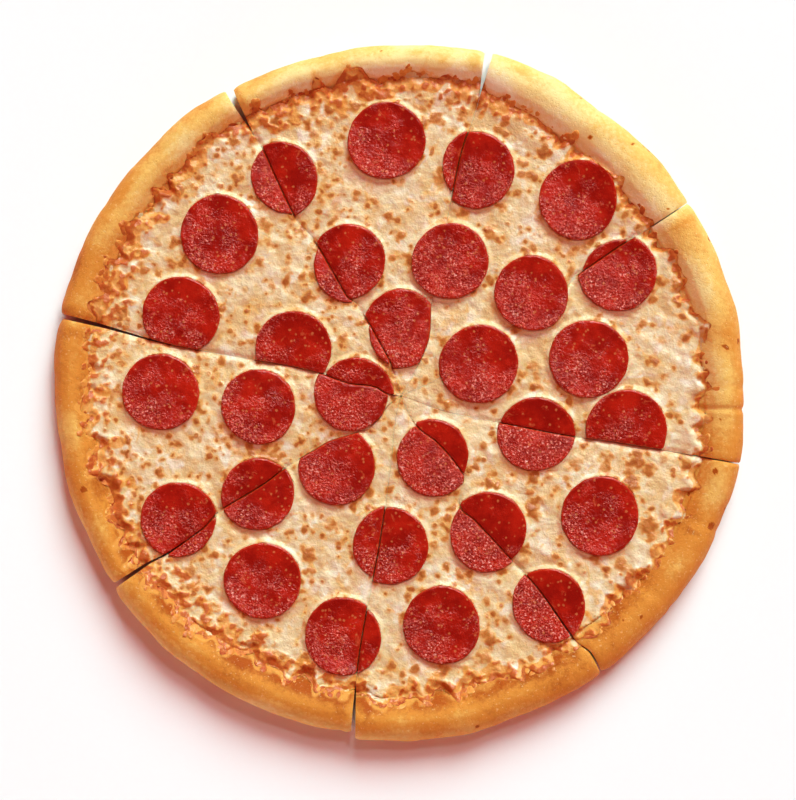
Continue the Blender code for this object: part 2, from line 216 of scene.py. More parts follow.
# Crust: the eight slices of the round of dough, with a raised rim that was pressed out by hand and baked
# golden. A wheel cut the round along eight wavering lines, and the slices lie a little apart at the rim.
RIM_RADIUS = 177.6
BASE_HEIGHT = 8.0
RIPPLE = 0.35
MEETING = (0.6, -2.4)
TIP = 1.6
CUT_WIDTH = 0.5
SLICES = range(1, 9)
DOUGH_DIP, DIP_REACH, MELTED, DIPPED = 0.5, 9.0, 18.0, 50.0
# Each cut's route outwards from the meeting point, as it wavers in the food, clockwise from the top
CUTS = (
    ((7, 8.5), (14, 23.5), (16.5, 45.5), (25, 91.5), (31, 120.5), (39.5, 145.5), (43.5, 164), (46, 174.5)),
    ((10.5, 2), (21, 7), (55, 32), (84.5, 53), (90, 59), (110.5, 73), (128.5, 84), (147.5, 96.5)),
    ((6, -4), (16.5, -8), (31, -12), (56.5, -17), (82, -22), (112.5, -26.5), (143, -31.5), (173.5, -37)),
    ((2.5, -7), (8.5, -17.5), (18.5, -25.5), (26, -33.5), (32.5, -42.5), (31, -52), (31, -59.5),
     (38, -65.5), (52, -80.5), (73.5, -104.5), (87.5, -124.5), (97, -133), (103, -143.5)),
    ((-1, -8.5), (-4, -32.5), (-7, -55.5), (-10.5, -78.5), (-15, -101.5), (-20, -129.5), (-24, -177)),
    ((-6, -7), (-10, -13.5), (-15.5, -18.5), (-22.5, -21), (-37.5, -26), (-52.5, -35), (-70.5, -48),
     (-90.5, -60), (-101, -70.5), (-116.5, -81.5), (-129.5, -88.5), (-146, -99.5)),
    ((-6, -1.5), (-12, 2), (-25.5, 4), (-40, 9), (-74.5, 16), (-116, 23.5), (-154.5, 34), (-173, 38.5)),
    ((-4, 13), (-10, 24.5), (-22, 44.5), (-27, 48.5), (-43.5, 77), (-52.5, 87.5), (-62.5, 107.5),
     (-70, 124), (-74.5, 131), (-83.5, 146.5), (-87, 153.5)),
)
# How wide each cut gapes at the rim, and how far in from the rim the gap has closed
GAPES = ((4.0, 20), (0.5, 20), (0.7, 40), (1.0, 60), (2.7, 30), (2.5, 45), (2.5, 60), (4.0, 24))
# Each slice at its first side, its middle and its last side: bare rim's width, and outline in or out
RIM_WIDTHS = (
    (22, 25, 24), (25, 21.5, 22), (20, 21, 26), (25, 23, 23.5),
    (22.5, 22, 20), (19, 18.5, 19), (20.5, 20, 18.5), (17.5, 17.5, 17.5),
)
OUTLINES = (
    (3.0, -0.3, -0.8), (-0.9, -1.3, -0.6), (-0.3, 0.3, -0.6), (-0.6, 0.5, 2.2),
    (-1.0, -0.3, 0.3), (-0.4, -1.3, 0.2), (1.1, 0.9, 0.6), (-0.6, -0.7, 1.5),
)
# The rim's section from its inner foot over the crest to the underside: shares of its width and millimetres
# in from the outline, and the height there
SECTION = (
    (1.0, 10.0, 8.0), (1.0, 4.5, 10.0), (1.0, 0.0, 13.2), (0.9, 0.0, 15.6), (0.72, 0.0, 18.9),
    (0.5, 0.0, 20.2), (0.25, 0.0, 18.6), (0.07, 0.0, 14.0), (0.0, 0.0, 8.0), (0.08, 0.0, 2.2), (0.25, 0.0, 0.0),
)
RIM_STEP = 0.95
USUAL_WIDTH = 22.0
# The rim runs out into the base over this distance, and its bumps fade out before that
FOOT_REACH, BUMPS_END, BUMPS_FADE = 10.0, 9.0, 6.0
# How deeply the rim is baked, from pale at 0 to brown at 1, at bearings clockwise from the top; partly painted
# light and shade, paler towards the window at the top and browner away from it at the bottom and lower left
BAKED_AND_SHADE = ((0, 0.18), (30, 0.20), (50, 0.30), (75, 0.46), (100, 0.60), (122, 0.72), (150, 0.96), (180, 0.78),
         (212, 0.80), (240, 0.76), (265, 0.80), (285, 0.80), (300, 0.62), (318, 0.46), (345, 0.26), (360, 0.18))
# Toasted patches: bearing, millimetres in from the outline, how far round, how far across, and how dark
TOASTED = (
    (12.5, 9, 5, 6, 0.40), (7.0, 8, 5, 4, 0.25), (331.5, 8, 4, 9, 0.50), (2.0, 5, 5, 2, 0.18),
    (58.5, 12, 3, 9, 0.30), (101.0, 8, 3, 10, 0.22), (186.0, 14, 3, 8, 0.22), (191.0, 12, 4, 6, 0.20),
    (237.0, 14, 4, 9, 0.25), (233.5, 14, 3, 7, 0.25), (284.5, 9, 4, 9, 0.40), (281.0, 10, 3, 6, 0.25),
    (146.0, 16, 4, 7, 0.25), (115.0, 13, 2, 5, 0.20), (307.0, 6, 9, 3, 0.20), (20.0, 6, 5, 3, 0.16),
)
# How far the melting cheese has crept up the rim's inner slope, and how strongly its fat has stained and
# singed the dough beyond it, both by bearing; then how far the edge wanders from that, and its limits
CREEP = ((0, 0.8), (15, 1.6), (45, 1.2), (90, 0.6), (120, 1.0), (138, 1.6), (142, 5.0), (147, 4.6), (156, 2.0),
         (165, 1.2), (200, 1.8), (230, 2.0), (260, 1.2), (290, 1.6), (315, 1.0), (340, 1.0), (360, 0.8))
SINGED = ((0, 0.6), (15, 0.7), (30, 0.5), (60, 0.3), (90, 0.22), (110, 0.22), (130, 0.3), (155, 0.42),
          (185, 0.7), (205, 0.85), (235, 1.0), (260, 0.8), (280, 0.85), (298, 0.9), (315, 0.6), (335, 0.75),
          (360, 0.8))
EDGE_WANDER, EDGE_LIMITS = 2.1, (-2.4, 6.5)
# Creases across the rim: bearing, half its width in millimetres, how deep
CREASES = ((92.3, 1.6, 0.9), (88.5, 3.0, 0.4), (128.0, 3.5, 0.5), (190.5, 2.0, 0.6), (113.0, 2.5, 0.4),
           (262.0, 3.0, 0.3), (350.0, 4.0, 0.3), (35.0, 4.0, 0.3), (303.0, 4.0, 0.3))


def smooth_line(xs, ys, x):
    """A smooth curve through the given points that doesn't swing past them."""
    xs, ys, x = np.asarray(xs, float), np.asarray(ys, float), np.asarray(x, float)
    slopes = np.diff(ys) / np.diff(xs)
    product, total = slopes[:-1] * slopes[1:], slopes[:-1] + slopes[1:]
    between = np.where(product > 0, 2 * product / np.where(product > 0, total, 1), 0)
    tangents = np.concatenate((slopes[:1], between, slopes[-1:]))
    i = np.clip(np.searchsorted(xs, x) - 1, 0, len(slopes) - 1)
    width = xs[i + 1] - xs[i]
    t = np.clip((x - xs[i]) / width, 0, 1)
    curve = ys[i] * (1 + 2 * t) * (1 - t) ** 2 + ys[i + 1] * t * t * (3 - 2 * t)
    curve = curve + width * (tangents[i] * t * (1 - t) ** 2 - tangents[i + 1] * t * t * (1 - t))
    return curve + np.maximum(x - xs[-1], 0) * tangents[-1]


def by_bearing(table, bearing):
    """A table's value at bearings round the pizza, whose own bearings are in degrees."""
    return smooth_line(*np.array(table).T, np.degrees(bearing) % 360)


def smooth_step(value):
    share = np.clip(value, 0, 1)
    return share * share * (3 - 2 * share)


def through(values, share):
    """The parabola through three values at 0, 0.5 and 1."""
    first, middle, last = values
    return first + share * (4 * middle - 3 * first - last) + 2 * (first + last - 2 * middle) * share * share


def waves(points, size, seed, count=26):
    """An even, random swell over the points, about -1 to 1, whose humps are about size across."""
    draw = np.random.default_rng(seed)
    heading = draw.normal(size=(count, 3))
    heading /= np.linalg.norm(heading, axis=1)[:, None]
    turns = heading * (math.pi / size * draw.uniform(0.65, 1.45, count))[:, None]
    phases = draw.uniform(0, 2 * math.pi, count)
    return np.cos(np.asarray(points) @ turns.T + phases).sum(axis=1) * math.sqrt(0.5 / count) * 1.4


def flat_spots(x, y, level=0.0):
    """Places as points for waves, which differ from level to level."""
    return np.stack((x, y, 0 * x + level), 1)


def polar(x, y):
    """Distance and bearing, clockwise from the top, from the point where the cuts meet."""
    across, up = x - MEETING[0], y - MEETING[1]
    return np.hypot(across, up), np.arctan2(across, up)


def place(distance, bearing):
    return MEETING[0] + distance * np.sin(bearing), MEETING[1] + distance * np.cos(bearing)


def read_cut(route):
    distances, bearings = polar(*np.array(route, float).T)
    return distances, np.unwrap(bearings)


CUT_LINES = [read_cut(route) for route in CUTS]


def cut_bearing(cut, distance):
    """The bearing of cut 1 to 8 at a distance; cut 9 is cut 1, a full turn on."""
    return smooth_line(*CUT_LINES[(cut - 1) % 8], distance) % (2 * math.pi) + 2 * math.pi * (cut == 9)


def cut_width(cut, distance, closed=CUT_WIDTH):
    gape, reach = GAPES[(cut - 1) % 8]
    opened = np.clip((distance - (RIM_RADIUS - reach)) / reach, 0, 1.1)
    return closed + (gape - closed) * opened


def slice_sides(slice_no, distance, closed=CUT_WIDTH):
    """The bearings of a slice's two sides at a distance from the meeting point."""
    first = cut_bearing(slice_no, distance) + cut_width(slice_no, distance, closed) / 2 / distance
    last = cut_bearing(slice_no + 1, distance) - cut_width(slice_no + 1, distance, closed) / 2 / distance
    return first, last


def bearing_at(slice_no, share, distance):
    first, last = slice_sides(slice_no, distance)
    return first + (last - first) * share


def to_sides(slice_no, distance, share):
    """How far places lie from the nearer side of their slice."""
    first, last = slice_sides(slice_no, distance)
    return np.maximum(distance * (last - first) * np.minimum(share, 1 - share), 0)


def outline_distance(slice_no, share):
    """From the meeting point out to the rim's outline, which is round the dough's middle."""
    ripple = np.sin(11 * share + 5 * slice_no) + 0.6 * np.sin(23 * share + 2 * slice_no)
    radius = RIM_RADIUS + through(OUTLINES[slice_no - 1], share) + RIPPLE * ripple
    distance = RIM_RADIUS + 0 * share
    for _ in range(4):
        bearing = bearing_at(slice_no, share, distance)
        along = MEETING[0] * np.sin(bearing) + MEETING[1] * np.cos(bearing)
        distance = -along + np.sqrt(radius ** 2 - MEETING[0] ** 2 - MEETING[1] ** 2 + along ** 2)
    return distance


def rim_width(slice_no, share):
    return through(RIM_WIDTHS[slice_no - 1], share)


def locate(x, y, slice_no):
    """A point's distance, share across its slice, distance in from the outline, and rim width there."""
    distance, bearing = polar(x, y)
    first, last = slice_sides(slice_no, distance)
    turn = (bearing - (first + last) / 2 + math.pi) % (2 * math.pi) - math.pi
    share = np.clip(0.5 + turn / (last - first), 0, 1)
    return distance, share, outline_distance(slice_no, share) - distance, rim_width(slice_no, share)


def dip(slice_no, share, distance):
    """1 beside a cut, fading into the slice and towards the melted middle of the pizza."""
    beside = np.exp(-to_sides(slice_no, distance, share) / DIP_REACH)
    return beside * smooth_step((distance - MELTED) / (DIPPED - MELTED))


def edge_inset(slice_no, share):
    """How far in from the outline the cheese's wandering edge lies."""
    width = rim_width(slice_no, share)
    distance = outline_distance(slice_no, share) - width
    bearing = bearing_at(slice_no, share, distance)
    spots = flat_spots(*place(distance, bearing))
    wander = EDGE_WANDER * (waves(spots, 8, 31) + waves(spots, 4.2, 32, 40))
    return width - np.clip(by_bearing(CREEP, bearing) + wander, *EDGE_LIMITS)


def section_curve():
    """The rim's section as smooth curves of share, inset and height over the way along it."""
    shares, insets, heights = np.array(SECTION).T
    run = np.concatenate(([0], np.cumsum(np.hypot(np.diff(shares * USUAL_WIDTH + insets), np.diff(heights)))))
    steps = np.linspace(0, run[-1], int(run[-1] / RIM_STEP))
    return [smooth_line(run, values, steps) for values in (shares, insets, heights)]


def rim_height(inward, width):
    """The bare rim's height at a distance in from the outline, on its upper side."""
    shares, insets, heights = np.array(SECTION[:8]).T
    usual = np.where(inward < width, inward / (width / USUAL_WIDTH), USUAL_WIDTH + inward - width)
    return smooth_line((shares * USUAL_WIDTH + insets)[::-1], heights[::-1], usual)


def dough_height(slice_no, share, distance, inward, width):
    foot = width + FOOT_REACH
    height = np.where(inward > foot, BASE_HEIGHT, rim_height(np.minimum(inward, foot), width))
    return height - DOUGH_DIP * dip(slice_no, share, distance) * smooth_step((inward - width) / FOOT_REACH)


def fill_flat(outline, inner):
    """Triangles that fill a closed outline in the plane, through the given inner points."""
    corners = [Vector(point) for point in outline]
    edges = [(i, (i + 1) % len(corners)) for i in range(len(corners))]
    flat, _, faces, *_ = delaunay_2d_cdt(corners + [Vector(point) for point in inner], edges, [], 1, 1e-5)
    return np.array(flat)[:, :2], np.array([face for face in faces if len(face) == 3])


def grid_faces(rows, columns):
    corner = (np.arange(rows - 1)[:, None] * columns + np.arange(columns - 1)).ravel()
    return np.concatenate((np.stack((corner, corner + 1, corner + columns + 1), 1),
                           np.stack((corner, corner + columns + 1, corner + columns), 1)))


def welded(parts, tolerance=1e-3):
    """Joins (points, triangles, material number) parts, merging points that share a place."""
    offset, points, faces, kinds = 0, [], [], []
    for part_points, part_faces, kind in parts:
        points.append(part_points)
        faces.append(part_faces + offset)
        kinds.append(np.full(len(part_faces), kind))
        offset += len(part_points)
    points, faces, kinds = np.concatenate(points), np.concatenate(faces), np.concatenate(kinds)
    rounded = np.round(points / tolerance).astype(int)
    _, first, same = np.unique(rounded, axis=0, return_index=True, return_inverse=True)
    faces = same.ravel()[faces]
    whole = (faces[:, 0] != faces[:, 1]) & (faces[:, 1] != faces[:, 2]) & (faces[:, 2] != faces[:, 0])
    return points[first], faces[whole], kinds[whole]


def add_piece(name, points, faces, fields, finishes, kinds=None, sharp=None):
    """A mesh in millimetres round the dough's middle becomes a named piece that rides on the pizza."""
    mesh = bpy.data.meshes.new(name)
    mesh.vertices.add(len(points))
    mesh.vertices.foreach_set("co", ((points + ROUND_MIDDLE) * MM).ravel())
    mesh.loops.add(3 * len(faces))
    mesh.loops.foreach_set("vertex_index", faces.ravel())
    mesh.polygons.add(len(faces))
    mesh.polygons.foreach_set("loop_start", 3 * np.arange(len(faces)))
    for finish in finishes:
        mesh.materials.append(finish)
    if kinds is not None:
        mesh.polygons.foreach_set("material_index", kinds)
    mesh.update(calc_edges=True)
    for field, values in fields.items():
        mesh.attributes.new(field, "FLOAT", "POINT").data.foreach_set("value", np.asarray(values, float))
    mesh.shade_smooth()
    if sharp is not None:
        mesh.set_sharp_from_angle(angle=math.radians(sharp))
    piece = bpy.data.objects.new(name, mesh)
    bpy.context.scene.collection.objects.link(piece)
    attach(piece, "root")
    return piece


def baked_dough():
    """Golden crust: pale to brown with how far it is baked and with painted light and shade, with a fine skin of
    pores and a butter gloss.
    """
    dough = Finish("baked_dough", Specular_IOR_Level=0.16, IOR=1.4,
                   Subsurface_Weight=0.06, Subsurface_Scale=0.004)
    mottle = dough.clouds(7.0, 3.0, 0.6) - 0.5
    freckle = dough.clouds(1.15, 2.0, 0.7) - 0.5
    depth = dough.stored("browning_and_shade") + mottle * 0.38 + freckle * 0.56
    stain = dough.stored("stain") + freckle * 0.7 + mottle * 0.5
    pores = dough.cells(1.5).over(0.06, 0.32)
    # The level mixes baking with painted light and shade; the palest colour, below 0, comes mostly from the
    # painted light on the inner slope
    body = dough.coats(
        shade(255, 240, 204), (depth, -0.45, 0.0, 1, (246, 212, 142)), (depth, 0.0, 0.34, 1, (238, 184, 98)),
        (depth, 0.26, 0.74, 1, (220, 138, 54)), (depth, 0.72, 1.25, 1, (172, 76, 18)),
        (stain, 0.1, 0.7, 0.6, (244, 172, 82)), (stain, 0.6, 1.1, 0.7, (226, 136, 62)),
        (dough.clouds(0.7, 1.0), 0.64, 0.78, 0.3, (255, 228, 168)))
    dough.wear(Base_Color=body, Roughness=0.66 + mottle * 0.2,
               Normal=dough.bump(pores * 0.4 + freckle * 1.1 + mottle * 0.6, 0.34))
    return dough.owner


def open_crumb():
    """The dough inside, where the wheel cut it: pale and full of small holes, whose middles are darkened with
    painted shade.
    """
    crumb = Finish("open_crumb", Roughness=0.85, Subsurface_Weight=0.1, Subsurface_Scale=0.003)
    holes = crumb.cells(2.2).over(0.1, 0.42)
    # Painted shade: dark red-brown in the middles of the holes, pale between them
    crumb.wear(Base_Color=(holes * 0.8).tint(shade(186, 104, 54), shade(238, 184, 122)),
               Normal=crumb.bump(holes + crumb.clouds(0.8, 3.0, 0.65) * 0.3, 0.8))
    return crumb.owner


# Painted light and shade on the rim's outer face, by bearing: how much browner it is than its crest, paler at
# the lower left where it turns away from the window, a little darker at the sides
OUTSIDE_PAINTED_LIGHT = ((0, 0.0), (50, 0.02), (90, 0.14), (120, 0.0), (150, -0.30), (180, -0.48), (210, -0.56),
                 (240, -0.48), (270, -0.12), (300, 0.12), (330, 0.12), (360, 0.0))
# Painted light and shade on the rim's inner slope: paler at the top, where the slope turns away from the window,
# and browner at the bottom, where it faces it: by how much, and the bearing of the pale side, which is the
# window's, in radians
INSIDE_PAINTED_LIGHT, WINDOW_BEARING = 0.46, 0.35


def round_the_rim(bearing, at):
    """How far round the rim bearings are from the one given in degrees."""
    return ((np.degrees(bearing) - at + 180) % 360 - 180) * math.radians(1) * RIM_RADIUS


def browning_and_shade_at(points, bearing, inward, width, to_side):
    """How far the crust is baked at its points, from its place on the rim and its patches, with painted light
    and shade by bearing on its outer face and inner slope.
    """
    outside = smooth_step((0.45 * width - inward) / (0.35 * width))
    inside = smooth_step((inward - 0.5 * width) / (0.4 * width))
    # Painted light and shade by bearing: on the outer face from its table, and on the inner slope paler towards
    # the window's bearing
    level = by_bearing(BAKED_AND_SHADE, bearing) + by_bearing(OUTSIDE_PAINTED_LIGHT, bearing) * outside
    level = level + 0.13 * waves(points, 17, 3) - INSIDE_PAINTED_LIGHT * inside * np.cos(bearing - WINDOW_BEARING)
    level = level - 0.12 * np.exp(-((inward - 0.55 * width) / 5.0) ** 2) - 0.14 * np.exp(-to_side / 2.5)
    for at, inset, across, deep, dark in TOASTED:
        spread = (round_the_rim(bearing, at) / across) ** 2 + ((inward - inset) / deep) ** 2
        level = level + dark * np.exp(-spread * (1.2 + 0.5 * waves(points, 5, int(at))))
    under = smooth_step((0.6 - points[:, 2]) / 0.5)
    return np.clip(level * (1 - under) + under * (0.62 + 0.16 * waves(points, 14, 8)), -0.5, 1.4)


def stain_at(points, bearing, past_cheese):
    """How much fat and burnt sauce from the cheese's edge has soaked into the dough near it."""
    singed = by_bearing(SINGED, bearing)
    reach = 1.0 + 2.4 * singed + 1.9 * waves(points, 8, 21, 40) + 1.4 * waves(points, 3.5, 22, 50)
    return singed * smooth_step(1.15 - past_cheese / np.maximum(reach, 0.7))


def rim_relief(points, bearing, to_side):
    """How far the baked skin lies below the rim's smooth form, in millimetres."""
    low = 0.45 * waves(points, 26, 1) + 0.22 * waves(points, 10, 2) + 0.07 * waves(points, 4, 5)
    low = low - 0.55 - 1.1 * np.exp(-to_side / 1.6)
    for at, half, deep in CREASES:
        low = low - deep * np.exp(-(round_the_rim(bearing, at) / half) ** 2)
    return np.minimum(low, 0.0)


def rim_grid(slice_no, count):
    """The rim's skin as rows along its section and columns across the slice."""
    share = np.linspace(0, 1, count)
    shares, insets, heights = section_curve()
    width, outline = rim_width(slice_no, share), outline_distance(slice_no, share)
    inward = shares[:, None] * width + insets[:, None]
    distance = outline - inward
    bearing = bearing_at(slice_no, share[None, :] + 0 * distance, distance)
    x, y = place(distance, bearing)
    sunk = DOUGH_DIP * dip(slice_no, share[None, :] + 0 * distance, distance)
    upper_side = heights[:, None] > BASE_HEIGHT / 2
    z = heights[:, None] - sunk * smooth_step((inward - width) / FOOT_REACH) * upper_side
    to_side = to_sides(slice_no, distance, share)
    points = np.stack((x, y, z), 2)
    along, across = np.gradient(points, axis=0), np.gradient(points, axis=1)
    normals = np.cross(across, along)
    normals /= np.linalg.norm(normals, axis=2)[:, :, None]
    flat, facing = points.reshape(-1, 3), normals.reshape(-1, 3)
    relief = rim_relief(flat, bearing.ravel(), to_side.ravel()) * smooth_step((flat[:, 2] - 0.3) / 3.0)
    relief = relief * smooth_step((width + BUMPS_END - inward).ravel() / BUMPS_FADE)
    return (flat + facing * relief[:, None]).reshape(points.shape)


def dough_surface(x, y, slice_no):
    """Height of the baked skin's upper side, with its bumps, at places on a slice."""
    distance, share, inward, width = locate(x, y, slice_no)
    height = dough_height(slice_no, share, distance, inward, width)
    slope = (rim_height(inward + 0.2, width) - rim_height(inward, width)) / 0.2
    relief = rim_relief(np.stack((x, y, height), 1), polar(x, y)[1], to_sides(slice_no, distance, share))
    fade = smooth_step((width + BUMPS_END - inward) / BUMPS_FADE)
    return height + relief * fade * np.sqrt(1 + np.minimum(slope * slope, 2.0))


def hex_points(low, high, step):
    """Points of an even triangular grid over a rectangle."""
    rows = int((high[1] - low[1]) / (step * 0.866)) + 1
    columns = int((high[0] - low[0]) / step) + 2
    j, i = np.mgrid[0:rows, 0:columns]
    return np.stack((low[0] + step * (i + 0.5 * (j % 2)), low[1] + 0.866 * step * j), 2).reshape(-1, 2)


def slice_floor(slice_no, edge_row, height, step):
    """A slice's flat underside, or the hidden top of its base, out to the rim grid's edge row.

    It comes with the points along its two sides, outwards from the tip.
    """
    reach = np.hypot(*(edge_row[[0, -1], :2] - MEETING).T)
    sides = []
    for side, end in ((0.0, reach[0]), (1.0, reach[1])):
        distance = np.linspace(TIP, end, max(int(end / 3.0), 2))[:-1]
        sides.append(np.stack(place(distance, bearing_at(slice_no, side + 0 * distance, distance)), 1))
    outline = np.concatenate((sides[0], edge_row[:, :2], sides[1][::-1]))
    grid = hex_points(outline.min(0), outline.max(0), step)
    distance, share, _, _ = locate(*grid.T, slice_no)
    first, last = slice_sides(slice_no, distance)
    bearing = polar(*grid.T)[1] % (2 * math.pi)
    bearing = np.where(bearing < cut_bearing(slice_no, distance) - 0.3, bearing + 2 * math.pi, bearing)
    limit = np.interp(share, np.linspace(0, 1, len(edge_row)), np.hypot(*(edge_row[:, :2] - MEETING).T))
    clear = (distance * (bearing - first) > step / 2) & (distance * (last - bearing) > step / 2)
    inner = grid[clear & (distance < limit - step / 2) & (distance > TIP + step)]
    flat, faces = fill_flat(outline, inner)
    distance, share, inward, width = locate(*flat.T, slice_no)
    if height is None:
        z = dough_height(slice_no, share, distance, inward, width)
        z[len(sides[0]):len(sides[0]) + len(edge_row)] = edge_row[:, 2]
    else:
        z, faces = np.full(len(flat), height), faces[:, ::-1]
    points = np.column_stack((flat, z))
    return points, faces, (points[:len(sides[0])], points[len(outline) - len(sides[1]):len(outline)][::-1])


def cut_face(slice_no, side, rim_column, top_points, low_points):
    """The wall that the wheel left: it follows the cut, from the base's tip out round the rim's section."""
    outline = np.concatenate((low_points[::-1], top_points, rim_column))
    distance = np.hypot(*(outline[:, :2] - MEETING).T)
    section = np.column_stack((distance, outline[:, 2]))
    grid = hex_points(section.min(0) + 1.2, section.max(0) - 1.2, 2.2)
    gap = np.linalg.norm(grid[:, None] - section[None], axis=2).min(1)
    inside = grid[(gap > 1.2) & inside_outline(grid, section)]
    flat, faces = fill_flat(section, inside)
    x, y = place(flat[:, 0], bearing_at(slice_no, side + 0 * flat[:, 0], flat[:, 0]))
    points = np.column_stack((x, y, flat[:, 1]))
    points[:len(outline)] = outline
    return points, faces if side else faces[:, ::-1]


def inside_outline(points, outline):
    """Which points lie within a closed outline in the plane."""
    start, end = outline, np.roll(outline, -1, axis=0)
    spans = (start[:, 1] > points[:, 1, None]) != (end[:, 1] > points[:, 1, None])
    rise = np.where(end[:, 1] == start[:, 1], 1, end[:, 1] - start[:, 1])
    meets = start[:, 0] + (points[:, 1, None] - start[:, 1]) * (end[:, 0] - start[:, 0]) / rise
    return (spans & (points[:, 0, None] < meets)).sum(1) % 2 == 1


def bake_slice(slice_no, finishes):
    """One slice of crust, closed: its skin over the rim, the base's top and underside, and two cut faces."""
    first, last = slice_sides(slice_no, np.array([RIM_RADIUS]))
    count = int(RIM_RADIUS * (last - first)[0] / RIM_STEP)
    skin = rim_grid(slice_no, count)
    rows = skin.shape[0]
    parts = [(skin.reshape(-1, 3), grid_faces(rows, count), 0)]
    top, top_faces, top_sides = slice_floor(slice_no, skin[0], None, 8.0)
    low, low_faces, low_sides = slice_floor(slice_no, skin[-1], 0.0, 4.0)
    parts += [(top, top_faces, 0), (low, low_faces, 0)]
    for side, column in ((0, 0), (1, -1)):
        parts.append((*cut_face(slice_no, side, skin[:, column], top_sides[side], low_sides[side]), 1))
    points, faces, kinds = welded(parts)
    distance, share, inward, width = locate(*points[:, :2].T, slice_no)
    bearing = polar(*points[:, :2].T)[1]
    fields = {"browning_and_shade": browning_and_shade_at(points, bearing, inward, width, to_sides(slice_no, distance, share)),
              "stain": stain_at(points, bearing, edge_inset(slice_no, share) - inward)}
    crust = add_piece(f"baked_crust_{slice_no}", points, faces, fields, finishes, kinds, sharp=55)
    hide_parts(f"crust_{slice_no}")


dough_finish, crumb_finish = baked_dough(), open_crumb()
for slice_no in SLICES:
    bake_slice(slice_no, (dough_finish, crumb_finish))

# Sauce: a thin coat of tomato sauce on the dough under the cheese. It shows at the cuts and where it has
# run a little way up the rim, most along the lower left.
SAUCE_BOTTOM, SAUCE_TOP = 0.03, 0.27
SAUCE_EDGE_STEP, SAUCE_STEP, SAUCE_COARSE_STEP = 1.4, 3.0, 4.5
POINTS_AT_ONCE = 4000
# How far sauce has run past the cheese, by bearing
SAUCE_RUN = ((0, -0.8), (40, -1.6), (100, -1.8), (150, -0.8), (185, 0.0), (215, 0.8), (238, 0.8), (262, -0.4),
             (300, -0.6), (335, -0.4), (360, -0.8))


def layer_outline(slice_no, tip, inset_of, closed, step):
    """A layer's outline on its slice: out along one side, round the rim and back along the other."""
    share = np.linspace(0, 1, int(135 / step))
    reach = outline_distance(slice_no, share) - inset_of(slice_no, share)
    rounds = []
    for side, end in ((0, reach[0]), (1, reach[-1])):
        distance = np.linspace(tip, end, int(end / step))[:-1]
        bearing = slice_sides(slice_no, distance, closed)[side]
        rounds.append(np.stack(place(distance, bearing), 1))
    first, last = slice_sides(slice_no, reach, closed)
    rim = np.stack(place(reach, first + (last - first) * share), 1)
    return np.concatenate((rounds[0], rim, rounds[1][::-1]))


def edge_distance(points, outline):
    """Distance from points to a closed outline, less than zero within it."""
    start, along = outline, np.roll(outline, -1, axis=0) - outline
    span = np.maximum((along ** 2).sum(1), 1e-9)
    away = np.empty(len(points))
    for low in range(0, len(points), POINTS_AT_ONCE):
        block = points[low:low + POINTS_AT_ONCE]
        share = np.clip(((block[:, None] - start) * along).sum(2) / span, 0, 1)
        nearest = start + share[:, :, None] * along
        away[low:low + POINTS_AT_ONCE] = np.sqrt(((nearest - block[:, None]) ** 2).sum(2).min(1))
    return np.where(inside_outline(points, outline), -away, away)


def points_within(outline, step):
    """Points of an even grid inside an outline, none of them nearer its corners than half a step."""
    grid = hex_points(outline.min(0), outline.max(0), step)
    grid = grid[inside_outline(grid, outline)]
    corners = KDTree(len(outline))
    for i, (x, y) in enumerate(outline):
        corners.insert((x, y, 0.0), i)
    corners.balance()
    return grid[[corners.find((x, y, 0.0))[2] > 0.5 * step for x, y in grid]]


def layer_solid(outline, step, coarse_step, top_height, low_height):
    """A closed layer inside an outline, with fine triangles above and coarse ones below, top points first."""
    top, top_faces = fill_flat(outline, points_within(outline, step))
    low, low_faces = fill_flat(outline, points_within(outline, coarse_step))
    heights = np.concatenate((top_height(*top.T), low_height(*low.T)))
    points = np.column_stack((np.concatenate((top, low)), heights))
    around = np.arange(len(outline))
    following = np.roll(around, -1)
    below, next_below = around + len(top), following + len(top)
    wall = [np.stack((around, below, next_below), 1), np.stack((around, next_below, following), 1)]
    return points, np.concatenate([top_faces, low_faces[:, ::-1] + len(top)] + wall)


def tomato_sauce():
    sauce = Finish("tomato_sauce", Roughness=0.6, Specular_IOR_Level=0.3)
    pulp = sauce.clouds(1.8, 3.0, 0.65)
    sauce.wear(Base_Color=pulp.over(0.32, 0.68).tint(shade(170, 62, 28), shade(224, 132, 66)),
               Normal=sauce.bump(pulp, 0.5))
    return sauce.owner


def sauce_inset(slice_no, share):
    distance = RIM_RADIUS - rim_width(slice_no, share)
    bearing = bearing_at(slice_no, share, distance)
    spots = flat_spots(*place(distance, bearing))
    run = by_bearing(SAUCE_RUN, bearing) + 1.3 * waves(spots, 6, 41) + 0.9 * waves(spots, 2.6, 42, 40)
    return edge_inset(slice_no, share) - run


sauce_finish = tomato_sauce()
for slice_no in SLICES:
    outline = layer_outline(slice_no, TIP, sauce_inset, CUT_WIDTH, SAUCE_EDGE_STEP)
    points, faces = layer_solid(outline, SAUCE_STEP, SAUCE_COARSE_STEP,
                                lambda x, y: dough_surface(x, y, slice_no) + SAUCE_TOP,
                                lambda x, y: dough_surface(x, y, slice_no) + SAUCE_BOTTOM)
    sauce = add_piece(f"tomato_sauce_{slice_no}", points, faces, {}, (sauce_finish,))

# Cheese: mozzarella that melted into one sheet and was cut with the dough. It blistered brown in spots,
# burnt along the rim, rises in a lip round each pepperoni, and the wheel pressed it down beside the cuts.
CHEESE_HEIGHT = 12.3
